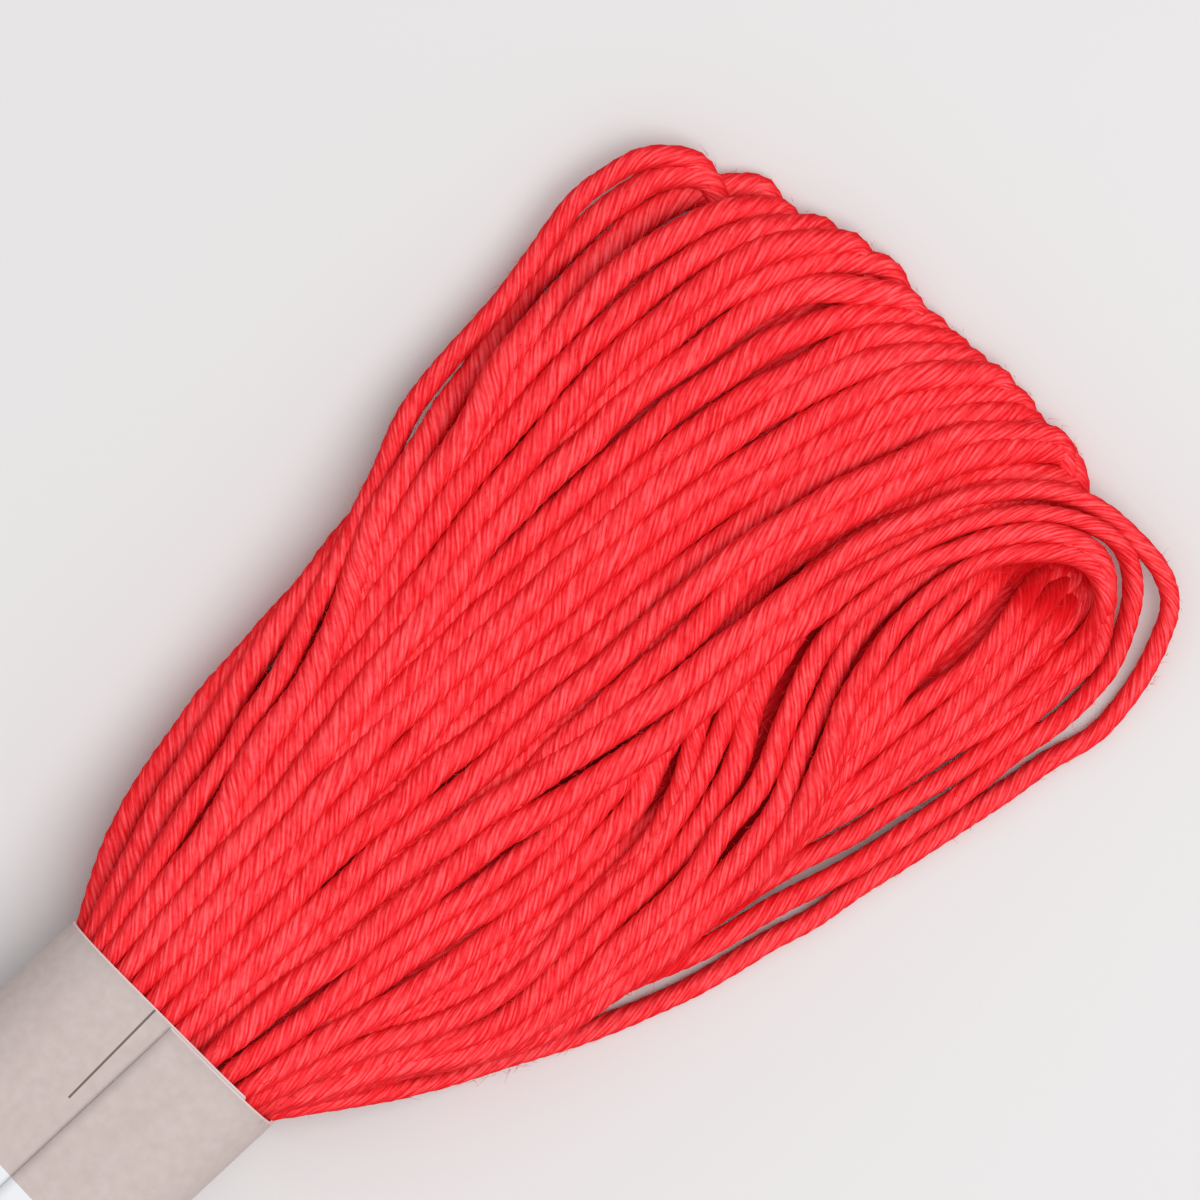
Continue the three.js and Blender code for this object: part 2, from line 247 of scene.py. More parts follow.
# The neck: each leg's place in the band, and the ceiling that draws the threads together towards it.
# The lower legs share out LOWER_LEVEL_SPREAD, below LOWER_LEVEL, by GOLDEN_STEP.
NECK_MIDDLE = 3.2
NECK_HALF_WIDTH = 4.14
NECK_HALF_HEIGHT = 2.62
NECK_ROUNDNESS = 2.8
NECK_REACH = 6.0
IN_BAND = 2.0
NECK_REACHES = (0.0, 2.0, 4.0, 8.0, 12.0, 16.0, 20.0, 24.0)
NECK_LEFT = (4.5, 5.7, 6.5, 7.3, 7.8, 8.8, 10.0, 12.0)
NECK_RIGHT = (-4.5, -5.7, -6.9, -8.9, -10.8, -12.2, -13.2, -15.0)
NECK_CROWN = (5.8, 5.6, 5.3, 4.7, 4.4, 4.3, 4.8, 8.0)
LOWER_SHARE = 0.5
BURIED_SHARE = 0.75
LEVEL_DROP = 0.25
LOWER_LEVEL = -0.1
LOWER_LEVEL_SPREAD = 0.85
GOLDEN_STEP = 0.618

# A layer sinks into the heap from SOFT_FROM of its limit upwards, and the limits fall over END_REACHES.
SOFT_FROM = 0.7
SETTLE_REACHES = (8.0, 18.0)
END_REACHES = (28.5, 34.5)
END_FALL = 0.3
LOWER_FALL = 0.6
LAYER_LIMITS = {"lower": 1.1, "buried": 1.5, "eye": 2.7, "eye_low": 0.9, "eye_1": 3.1, "eye_2": 3.0,
                "slip": 3.0, "slip_1": 3.4, "slip_3_low": 2.0, "edge": 3.0, "fan": 3.8, "arch": 4.0,
                "loop": 3.9, "cross": 3.7}

# Heights in the bend of the turns that stay up round the eye, and at the tip of those that dip down.
BEND_HEIGHTS = {"arch": 3.1, "loop": 3.3, "cross": 1.1}
TIP_HEIGHTS = {"buried": 0.7, "eye": 0.5, "slip": 0.9, "edge": 0.9, "fan": 0.95}
TIP_SLOPE = 0.5
EYE_SLOPE = 4.0
SOFTENING = 8
EYE_SOFTENING = 2
JOINT_SOFTENING = 4

# Half widths: the upper legs lie flattened and wide, the lower ones and the outermost tighter and rounder.
# The turning threads draw in to their narrow width over NARROW_REACHES.
GIRTH = 0.52
GIRTHS = {"fan_1": 0.40, "fan_5": 0.51, "fan_14": 0.48, "slip": 0.45, "slip_4": 0.41, "slip_5": 0.41,
          "slip_6": 0.47, "arch": 0.43, "loop": 0.43, "eye": 0.42}
BACK_GIRTH = 0.35
TURN_GIRTH = 0.36
TURN_GIRTHS = {"cross_2": 0.30, "cross_1": 0.34, "eye": 0.38}
NARROW_REACHES = (24.0, 29.0)

# A dipping thread shows for SEEN_BACK steps past its bend. NEIGHBOUR is how far off the threads beside it are
# felt for, along FEELERS lines, to find where shade is painted on a thread that lies deep. The eye's threads
# reach its hollow, where shade is painted on them, over HOLLOW millimetres before they pass under the arch,
# and leave it HOLLOW_TAIL times as slowly.
SEEN_BACK = 6
NEIGHBOUR = 0.55
FEELERS = 4
HOLLOW = (0.3, 1.2)
HOLLOW_TAIL = 3


def smooth_route(points):
    """A smooth curve through the points in even small steps, and where along it each point is."""
    points = np.asarray(points, float)
    padded = np.vstack([2 * points[0] - points[1], points, 2 * points[-1] - points[-2]])
    pieces = []
    for before, start, end, after in zip(padded, padded[1:], padded[2:], padded[3:]):
        length = np.linalg.norm(end - start)
        slope_in = (end - before) * length / (length + np.linalg.norm(start - before))
        slope_out = (after - start) * length / (length + np.linalg.norm(after - end))
        f = np.linspace(0.0, 1.0, max(int(length / ROUTE_STEP), 1) + 1)[:-1, None]
        pieces.append((2 * f**3 - 3 * f**2 + 1) * start + (f**3 - 2 * f**2 + f) * slope_in
                      + (3 * f**2 - 2 * f**3) * end + (f**3 - f**2) * slope_out)
    marks = np.concatenate([[0], np.cumsum([len(piece) for piece in pieces])])
    return np.vstack([*pieces, points[-1:]]), marks


def smoothstep(value, low, high):
    f = np.clip((value - low) / (high - low), 0.0, 1.0)
    return f * f * (3 - 2 * f)


def soften(line, passes):
    """Evens out a line in place, all but its two ends."""
    for _ in range(passes):
        line[1:-1] = (line[:-2] + 2 * line[1:-1] + line[2:]) / 4


def arch(across):
    """Height of a rounded arch, 1 in the middle and about 0 at -1 and 1."""
    return (1 - np.clip(np.abs(across), 0.0, 0.999) ** NECK_ROUNDNESS) ** (1 / NECK_ROUNDNESS)


def ceiling(plan, share):
    """The greatest height near the band, where the threads are drawn together under the paper."""
    left = np.interp(plan[:, 0], NECK_REACHES, NECK_LEFT)
    right = np.interp(plan[:, 0], NECK_REACHES, NECK_RIGHT)
    crown = np.interp(plan[:, 0], NECK_REACHES, NECK_CROWN)
    across = (2 * plan[:, 1] - left - right) / (left - right)
    return THREAD_RADIUS + (crown - THREAD_RADIUS) * arch(across) * share


def settle(reach, height, limit, fall):
    """The height once a layer has sunk into the soft heap, up to its limit, which falls at the far end."""
    limit = limit * (1 - fall * smoothstep(reach, *END_REACHES))
    knee = SOFT_FROM * limit
    over = np.maximum(height - knee, 0.0)
    sunk = np.minimum(height, knee) + (limit - knee) * (1 - np.exp(-over / (limit - knee)))
    return height + (sunk - height) * smoothstep(reach, *SETTLE_REACHES)


def into_band(plan, height, level):
    """Brings a leg over to its own place in the band, along its first stretch out of it."""
    reach, side = plan.T
    side = np.where(reach <= 0, np.clip(side, -NECK_HALF_WIDTH, NECK_HALF_WIDTH), side)
    place = NECK_MIDDLE + level * NECK_HALF_HEIGHT * arch(side[np.abs(reach).argmin()] / NECK_HALF_WIDTH)
    return np.column_stack([reach, side, place + (height - place) * smoothstep(reach, 0.0, NECK_REACH)])


class Pile:
    """The heap of thread laid so far, as the height of its top over a fine grid."""

    def __init__(self):
        self.top = np.zeros(PILE_SIZE)

    def top_at(self, places):
        return self.top[self.cells(places)]

    @staticmethod
    def cells(places):
        index = np.rint((places - PILE_LOW) / PILE_CELL).astype(int)
        return tuple(np.clip(index, 0, np.array(PILE_SIZE) - 1).T)

    @staticmethod
    def sideways(plan):
        along = np.gradient(plan, axis=0)
        along /= np.linalg.norm(along, axis=1)[:, None] + 1e-9
        return np.stack([-along[:, 1], along[:, 0]], axis=1)

    def support(self, plan):
        """How high the thread's middle has to be to lie on the heap along this route."""
        normal = self.sideways(plan)
        height = np.full(len(plan), THREAD_RADIUS)
        for offset in SUPPORT_SPREAD:
            rise = math.sqrt(THREAD_RADIUS**2 - offset**2)
            height = np.maximum(height, self.top_at(plan + normal * offset) + rise)
        return height

    def lay(self, plan, share, limit, fall, end=0.0, tip=None, slope=TIP_SLOPE, softening=SOFTENING):
        """Lays a thread along plan and gives its heights. It is held up at end, or slopes down to tip."""
        support = np.minimum(self.support(plan), ceiling(plan, share))
        height = support.copy()
        height[-1] = max(end, support[-1])
        for _ in range(SPANNING):
            height[1:-1] = np.maximum(support[1:-1], (height[:-2] + height[2:]) / 2)
        height = settle(plan[:, 0], height, limit, fall)
        soften(height, SOFTENING)
        if tip:
            left = ROUTE_STEP * np.arange(len(plan) - 1, -1, -1)
            height = np.minimum(height, tip + slope * left)
            soften(height, softening)
        self.add(plan, height)
        return height

    def add(self, plan, height):
        """Raises the heap by a thread that lies along plan."""
        steps = np.arange(len(plan))
        fine = np.linspace(0, len(plan) - 1, len(plan) * FINER)
        places = np.stack([np.interp(fine, steps, plan[:, k]) for k in (0, 1)], axis=1)
        middle = np.interp(fine, steps, height)
        normal = self.sideways(places)
        for offset in WHOLE_SPREAD:
            top = middle + math.sqrt(max(THREAD_RADIUS**2 - offset**2, 0.0))
            np.maximum.at(self.top, self.cells(places + normal * offset), top)

    def depth(self, line):
        """How far each point of a thread lies below what hems it in on two opposite sides."""
        walls = self.top_at(line[:, :2])
        for angle in np.arange(FEELERS) * math.pi / FEELERS:
            aside = NEIGHBOUR * np.array((math.cos(angle), math.sin(angle)))
            one, other = (self.top_at(line[:, :2] + side) for side in (aside, -aside))
            walls = np.maximum(walls, np.minimum(one, other))
        return walls - line[:, 2] - THREAD_RADIUS


def lay_loop(turns):
    """Lays every turn of a loop. Gives them, and the heap that they make.

    A turn comes as its kind and its middle line, from mid band round the loop and back, and for each point of
    the line its half width, whether it shows, and how far it lies in the hollow of the eye, where shade is
    painted on it.
    """
    pile = Pile()
    for turn in turns:
        out, bend = turn["out"], turn["bend"]
        plan, marks = smooth_route([*out, *bend, *turn["back"]])
        turn["plan"] = plan
        turn["narrow"] = marks[len(out) - 1]
        turn["grip"] = marks[len(out) + (0 if turn["kind"] in TIP_HEIGHTS else len(bend) - 2)]
        turn["low"] = marks[len(out) + len(bend)]
        turn["low_height"] = pile.lay(plan[turn["low"]:], LOWER_SHARE, LAYER_LIMITS["lower"], LOWER_FALL)
    routes = []
    for number, turn in enumerate(turns):
        name, kind, level = turn["name"], turn["kind"], turn["level"]
        plan, grip, low, low_height = turn["plan"], turn["grip"], turn["low"], turn["low_height"]
        share = BURIED_SHARE if kind == "buried" else 1 - LEVEL_DROP * (1 - level)
        limit = LAYER_LIMITS.get(name, LAYER_LIMITS[kind])
        dive = (EYE_SLOPE, EYE_SOFTENING) if kind == "eye" else (TIP_SLOPE, SOFTENING)
        high_height = pile.lay(plan[:grip + 1], share, limit, END_FALL, BEND_HEIGHTS.get(kind, 0.0),
                               TIP_HEIGHTS.get(kind), *dive)
        part = np.linspace(0.0, 1.0, low - grip + 1)[1:-1]
        eased = 1 - (1 - part) ** 2 if kind in TIP_HEIGHTS else smoothstep(part, 0.0, 1.0)
        bend_height = high_height[-1] + (low_height[0] - high_height[-1]) * eased
        height = np.concatenate([high_height, bend_height, low_height])
        soften(height, EYE_SOFTENING if kind == "eye" else JOINT_SOFTENING)
        upper = into_band(plan[:low], height[:low], level)
        lower_level = LOWER_LEVEL - LOWER_LEVEL_SPREAD * ((number * GOLDEN_STEP) % 1.0)
        lower = into_band(plan[low:], height[low:], lower_level)
        start = [(-HALF_BAND, *upper[0, 1:]), (-IN_BAND, *upper[0, 1:])]
        finish = [(-IN_BAND, *lower[-1, 1:]), (-HALF_BAND, *lower[-1, 1:])]
        whole = np.vstack([start, upper, lower, finish])
        steps = np.arange(len(whole))
        seen_back = len(lower) + 1 if kind in BEND_HEIGHTS else SEEN_BACK
        seen = (steps >= 1) & (steps < 2 + low + seen_back) & (kind != "buried")
        own_girth = GIRTHS.get(name, GIRTHS.get(kind, GIRTH))
        girth = np.interp(steps, (turn["narrow"], low + 2), (own_girth, BACK_GIRTH))
        if name in TURNING:
            turn_girth = TURN_GIRTHS.get(name, TURN_GIRTHS.get(kind, TURN_GIRTH))
            drawn_in = own_girth + (turn_girth - own_girth) * smoothstep(whole[:, 0], *NARROW_REACHES)
            girth = np.minimum(girth, drawn_in)
        # Painted shade: how far into the eye's hollow, under the arch, each point of an eye thread lies.
        hollow = np.zeros(len(whole))
        if kind == "eye":
            before = ROUTE_STEP * (grip - steps)
            hollow = 1 - smoothstep(np.maximum(before, -before / HOLLOW_TAIL), *HOLLOW)
        routes.append((kind, whole, girth, seen, hollow))
    return routes, pile


# Thread, its surface
# Six soft plies laid together with a left-hand twist. Where it shows, the cord is swept along its middle line
# with its plies running round it once in every lay, each a little fuller or slacker than the next.
PLIES = 6
LAY = 3.8
PLY_DEPTH = 0.07
PLY_FULLNESS = (0.3, 1.8)
CREST_LIMIT = 1.3
HALF_HEIGHT = 0.42
NECK_HALF = 0.36
MOUTH_REACH = 2.5

# How finely a thread is made where it shows, by loop, and where it doesn't.
POINTS_PER_PLY = {"wide": 6, "plain": 3}
FINE_STEPS = {"wide": 0.31, "plain": 0.5}
HIDDEN_SIDES = 8
HIDDEN_STEP = 0.9
BURIED_STEP = 0.8
LEAST_STEPS = 5

# Random drifts along a thread, each as its spacing and its size. Those of the middle line start outside the
# band, over FREE_REACH. The streaks of a thread start anywhere in HELIX_LENGTH.
SIDE_DRIFT = (1.6, 0.075)
HEIGHT_DRIFT = (1.8, 0.075)
SWELL_DRIFT = (2.5, 0.035)
PLY_DRIFT = (1.2, 0.35)
LAY_DRIFT = (2.0, 0.3)
DRIFT_WINDOW = 5
DRIFT_SOFTENING = 2
FREE_REACH = 4.0
HELIX_LENGTH = 500.0

# A thread is painted palest on top, as if lit there, over FLANK_RISE of its half height, and in painted shade
# down its flanks. Where it lies DEEP millimetres below its neighbours, or in the hollow of the eye, its top
# is painted in deep shade instead.
FLANK_RISE = (0.4, 0.9)
DEEP = (0.4, 1.8)
DEEP_SHARE = 2.0

# The finish: STROKES bent pale strokes round the thread, painted highlights along its twist, and the tones
# from the deepest, reached in painted shade, to the palest.
STROKES = 14.0
STROKE_BEND = 9.0
COTTON_TONES = ((0.22, (0.60, 0.003, 0.006)), (0.48, (0.77, 0.012, 0.018)), (0.64, (0.90, 0.045, 0.055)),
                (0.79, (1.0, 0.108, 0.120)))

rng = np.random.default_rng(20)


def drift(stops, spacing, size):
    """Smooth random drift along a thread, changing over the given spacing."""
    knots = np.arange(0.0, stops[-1] + 2 * spacing, spacing)
    fine = np.interp(stops, knots, rng.normal(0.0, size, len(knots)))
    padded = np.pad(fine, DRIFT_WINDOW // 2, mode="edge")
    return np.convolve(padded, np.ones(DRIFT_WINDOW) / DRIFT_WINDOW, mode="valid")


def sweep(line, girth, painted_lit_share, step, sides, twisted):
    """One stretch of thread along a middle line in millimetres: corners, faces, caps and corner values."""
    along = np.concatenate([[0.0], np.cumsum(np.linalg.norm(np.diff(line, axis=0), axis=1))])
    stops = np.linspace(0.0, along[-1], max(int(along[-1] / step), LEAST_STEPS) + 1)
    middle = np.stack([np.interp(stops, along, line[:, k]) for k in range(3)], axis=1)
    free = smoothstep(np.abs(middle[:, 0]) - HALF_BAND, 0.0, FREE_REACH)
    middle[:, 1] += drift(stops, *SIDE_DRIFT) * free
    middle[:, 2] += np.abs(drift(stops, *HEIGHT_DRIFT)) * free
    soften(middle, DRIFT_SOFTENING)
    ahead = np.gradient(middle, axis=0)
    ahead /= np.linalg.norm(ahead, axis=1)[:, None]
    side = np.zeros_like(middle)
    side[0] = np.cross((0.0, 0.0, 1.0), ahead[0])
    for k in range(1, len(middle)):
        side[k] = side[k - 1] - ahead[k] * np.dot(side[k - 1], ahead[k])
        side[k] /= np.linalg.norm(side[k])
    above = np.cross(ahead, side)
    around = np.arange(sides) * 2 * math.pi / sides
    rows = len(stops)
    crest = np.full((rows, sides), 0.5)
    radius = np.ones((rows, sides)) * (1 + drift(stops, *SWELL_DRIFT))[:, None]
    turned = np.zeros(rows)
    if twisted:
        fullness = np.stack([drift(stops, *PLY_DRIFT) for _ in range(PLIES)], axis=1)
        fullness = np.clip(1 + np.repeat(fullness, sides // PLIES, axis=1), *PLY_FULLNESS)
        lobe = 0.5 - 0.5 * np.cos(PLIES * around)
        crest = np.clip(lobe * fullness, 0.0, CREST_LIMIT)
        radius *= 1 - PLY_DEPTH * (1 - crest)
        turned = stops * 2 * math.pi / LAY + drift(stops, *LAY_DRIFT)
    spread = smoothstep(np.abs(middle[:, 0]) - HALF_BAND, 0.0, MOUTH_REACH)
    half_width = (NECK_HALF + (np.interp(stops, along, girth) - NECK_HALF) * spread)[:, None] * radius
    half_height = (NECK_HALF + (HALF_HEIGHT - NECK_HALF) * spread)[:, None] * radius
    angle = around + rng.uniform(0.0, 2 * math.pi) - turned[:, None]
    corners = (middle[:, None, :] + side[:, None, :] * (half_width * np.cos(angle))[..., None]
               + above[:, None, :] * (half_height * np.sin(angle))[..., None])
    corners[..., 2] = np.maximum(corners[..., 2], 0.0)
    ring = np.arange(sides)
    near = (np.arange(rows - 1)[:, None] * sides + ring).ravel()
    near_next = (np.arange(rows - 1)[:, None] * sides + np.roll(ring, -1)).ravel()
    quads = np.stack([near, near_next, near_next + sides, near + sides], axis=1)
    caps = (ring[::-1], ring + (rows - 1) * sides)
    start = rng.uniform(0.0, HELIX_LENGTH)
    helix = np.stack([np.tile(np.cos(around), (rows, 1)), np.tile(np.sin(around), (rows, 1)),
                      np.repeat(stops[:, None] + start, sides, axis=1)], axis=2)
    # Painted light: the thread's top is painted paler than its sides, which are painted in shade; where it
    # lies deep, that top is painted in shade too.
    rise = (corners[..., 2] - middle[:, None, 2]) / HALF_HEIGHT
    flank = smoothstep(rise, *FLANK_RISE) * np.interp(stops, along, painted_lit_share)[:, None]
    return dict(corners=corners.reshape(-1, 3), quads=quads, caps=caps, helix=helix.reshape(-1, 3),
                crest=crest.ravel(), shade=np.full(rows * sides, rng.random()), flank=flank.ravel())


def thread_mesh(name, swept):
    """Joins several swept threads into one mesh object, which keeps their corner values."""
    starts = np.cumsum([0] + [len(item["corners"]) for item in swept[:-1]])
    loops = []
    sizes = []
    for start, item in zip(starts, swept):
        loops.append((item["quads"] + start).ravel())
        sizes.append(np.full(len(item["quads"]), 4))
        for cap in item["caps"]:
            loops.append(cap + start)
            sizes.append(np.array([len(cap)]))
    loops = np.concatenate(loops)
    sizes = np.concatenate(sizes)
    corners = np.vstack([item["corners"] for item in swept]) * MM
    mesh = bpy.data.meshes.new(name)
    mesh.vertices.add(len(corners))
    mesh.vertices.foreach_set("co", corners.ravel())
    mesh.loops.add(len(loops))
    mesh.loops.foreach_set("vertex_index", loops)
    mesh.polygons.add(len(sizes))
    mesh.polygons.foreach_set("loop_start", np.concatenate([[0], np.cumsum(sizes)[:-1]]))
    mesh.polygons.foreach_set("use_smooth", np.ones(len(sizes), bool))
    mesh.update(calc_edges=True)
    for value, kind, key in (("crest", "FLOAT", "value"), ("shade", "FLOAT", "value"),
                             ("flank", "FLOAT", "value"), ("helix", "FLOAT_VECTOR", "vector")):
        values = np.concatenate([item[value] for item in swept])
        mesh.attributes.new(value, kind, "POINT").data.foreach_set(key, values.ravel())
    made = bpy.data.objects.new(name, mesh)
    bpy.context.collection.objects.link(made)
    return made


def new_finish(name, roughness, gloss):
    """A material, its node tree and its shader."""
    finish = bpy.data.materials.new(name)
    finish.use_nodes = True
    shader = finish.node_tree.nodes["Principled BSDF"]
    shader.inputs["Roughness"].default_value = roughness
    shader.inputs["Specular IOR Level"].default_value = gloss
    return finish, finish.node_tree, shader


def calculate(tree, operation, *values):
    """One sum in a node tree, of plain numbers and of other nodes' values."""
    node = tree.nodes.new("ShaderNodeMath")
    node.operation = operation
    for socket, value in zip(node.inputs, values):
        if isinstance(value, float):
            socket.default_value = value
        else:
            tree.links.new(value, socket)
    return node.outputs["Value"]


def speckle(tree, place, scale, detail):
    """Soft random speckle."""
    noise = tree.nodes.new("ShaderNodeTexNoise")
    noise.inputs["Scale"].default_value = scale
    noise.inputs["Detail"].default_value = detail
    tree.links.new(place, noise.inputs["Vector"])
    return noise.outputs["Fac"]


def colour_by(tree, value, tones):
    """A colour that goes through the tones, given as (position, colour), as the value rises."""
    node = tree.nodes.new("ShaderNodeValToRGB")
    elements = node.color_ramp.elements
    for position, _ in tones[1:-1]:
        elements.new(position)
    for element, (position, colour) in zip(elements, tones):
        element.position = position
        element.color = (*colour, 1.0)
    tree.links.new(value, node.inputs["Fac"])
    return node.outputs["Color"]


def emboss(tree, shader, height, strength, depth):
    """Relief too fine for the mesh, its depth in millimetres."""
    bump = tree.nodes.new("ShaderNodeBump")
    bump.inputs["Strength"].default_value = strength
    bump.inputs["Distance"].default_value = depth * MM
    tree.links.new(height, bump.inputs["Height"])
    tree.links.new(bump.outputs["Normal"], shader.inputs["Normal"])


def thread_finish():
    """Soft matte red cotton, streaked along the twist, with painted highlights on plies and tops and painted
    shade between.
    """
    finish, tree, shader = new_finish("red_cotton", roughness=0.9, gloss=0.05)
    shader.inputs["Sheen Weight"].default_value = 0.04
    shader.inputs["Sheen Roughness"].default_value = 0.6
    shader.inputs["Sheen Tint"].default_value = (1.0, 0.25, 0.25, 1.0)

    def read(name):
        node = tree.nodes.new("ShaderNodeAttribute")
        node.attribute_name = name
        return node.outputs

    def streaks(stretch, detail):
        """Speckle drawn out along the twist."""
        stretched = tree.nodes.new("ShaderNodeVectorMath")
        stretched.operation = "MULTIPLY"
        stretched.inputs[1].default_value = stretch
        tree.links.new(helix, stretched.inputs[0])
        return speckle(tree, stretched.outputs["Vector"], 1.0, detail)

    def weigh(*parts):
        """The sum of some values, each times its weight."""
        total = 0.0
        for value, weight in parts:
            total = calculate(tree, "MULTIPLY_ADD", value, weight, total)
        return total

    helix = read("helix")["Vector"]
    axes = tree.nodes.new("ShaderNodeSeparateXYZ")
    tree.links.new(helix, axes.inputs["Vector"])
    angle = calculate(tree, "ARCTAN2", axes.outputs["Y"], axes.outputs["X"])
    bent = weigh((angle, STROKES), (streaks((1.5, 1.5, 1.0), 1.0), STROKE_BEND))
    strokes = calculate(tree, "COSINE", bent)
    yarns = streaks((4.5, 4.5, 2.0), 1.0)
    fibres = streaks((10.0, 10.0, 4.0), 2.0)
    place = tree.nodes.new("ShaderNodeTexCoord").outputs["Object"]
    mottle = speckle(tree, place, 6000.0, 2.0)
    # Relief, also the bump: yarns and fibres are the thread's own streaks; the crest is painted shade between
    # the plies, and the strokes are painted highlights along the twist.
    relief = weigh((read("crest")["Fac"], 0.08), (strokes, 0.075), (yarns, 0.5), (fibres, 0.2))
    # Painted light: the tone is raised on each thread's top and lowered, as painted shade, on its sides, in
    # deep places and in the eye's hollow. The mottle and each thread's random shade value are its own tone.
    tone = weigh((relief, 1.0), (mottle, 0.12), (read("shade")["Fac"], 0.04), (read("flank")["Fac"], 0.17))
    tree.links.new(colour_by(tree, tone, COTTON_TONES), shader.inputs["Base Color"])
    emboss(tree, shader, relief, strength=0.45, depth=0.06)
    return finish


RED_COTTON = thread_finish()


def dress(piece, node, finishes):
    """Finishes a piece, hangs it from the root body and hides the solid that it stands for."""
    for finish in finishes:
        piece.data.materials.append(finish)
    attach(piece, "root")
    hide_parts(node)


def stretches_of(seen):
    """Start and end of each run of like values, one step over its neighbours."""
    changes = np.flatnonzero(np.diff(seen.astype(int))) + 1
    starts = [0, *changes]
    ends = [*(changes + 1), len(seen)]
    return zip(starts, ends)


# The piece of the loop that each kind of turn goes into. All other kinds go into the eye.
PIECES = {"buried": "buried", "fan": "fan", "edge": "edge", "slip": "herringbone"}
SCALING_REACH = 8.0
FUZZ_COVER = 0.08


def make_loop(label, direction, reach_scale, side_scale):
    """One loop of the skein: its turns laid and swept, as a few joined pieces.

    Gives a row for each step of thread that nothing covers: its place, its direction and its half width.
    """
    groups = {}
    shown = []
    routes, pile = lay_loop(list_turns())
    for kind, line, girth, seen, hollow in routes:
        bare = seen & (pile.top_at(line[:, :2]) < line[:, 2] + THREAD_RADIUS + FUZZ_COVER)
        # Painted shade: the top of a thread is painted darker where it lies deep among its neighbours and in
        # the eye's hollow.
        painted_lit_share = 1 - DEEP_SHARE * np.maximum(smoothstep(pile.depth(line), *DEEP), hollow)
        placed = line.copy()
        free = np.maximum(placed[:, 0], 0.0)
        placed[:, 0] = direction * (HALF_BAND + placed[:, 0] + free * (reach_scale - 1))
        placed[:, 1] *= 1 + (side_scale - 1) * np.minimum(free / SCALING_REACH, 1.0)
        swept = groups.setdefault(PIECES.get(kind, "eye"), [])
        if kind == "buried":
            swept.append(sweep(placed, girth, painted_lit_share, BURIED_STEP, HIDDEN_SIDES, False))
            continue
        shown.append(np.column_stack([placed, np.gradient(placed, axis=0), girth])[bare])
        for start, end in stretches_of(seen):
            stretch = placed[start:end], girth[start:end], painted_lit_share[start:end]
            if seen[start]:
                swept.append(sweep(*stretch, FINE_STEPS[label], PLIES * POINTS_PER_PLY[label], True))
            else:
                swept.append(sweep(*stretch, HIDDEN_STEP, HIDDEN_SIDES, False))
    for group, swept in groups.items():
        dress(thread_mesh(f"{label}_loop_{group}", swept), "skein", [RED_COTTON])
    return np.vstack(shown)


wide_open = make_loop("wide", direction=1, reach_scale=1.0, side_scale=1.0)
plain_open = make_loop("plain", direction=-1, reach_scale=0.95, side_scale=0.86)


# Fuzz
# Loose ends of cotton fibre that stand out of the thread all over, fine, curved and pointed.
# Each is a thin three-sided hair rooted in a thread, and those of one loop are joined.
HAIR_RADIUS = 0.009
HAIR_TAPER = 0.75
HAIR_STEPS = 3
HAIR_SIDES = 3
LEAST_LENGTH = 0.1
LENGTH_SHAPE = 2.0
LENGTH_SCALE = 0.06
ROOT_DEPTH = 0.94
ROOT_SPREAD = 0.6
LEAN_ALONG = (0.3, 1.0)
LEAN_OUT = (0.2, 0.8)
CURL = 0.5
CURL_IN = 0.25
ABOVE_TABLE = 0.03
OFF_AXIS = (0.31, 0.52, 0.79)
HAIR_CREST = 0.7
# The hairs' painted light lies halfway between a painted pale top and painted shade.
HAIR_PAINTED_LIGHT = 0.5


def unit(vectors):
    return vectors / np.linalg.norm(vectors, axis=-1, keepdims=True)


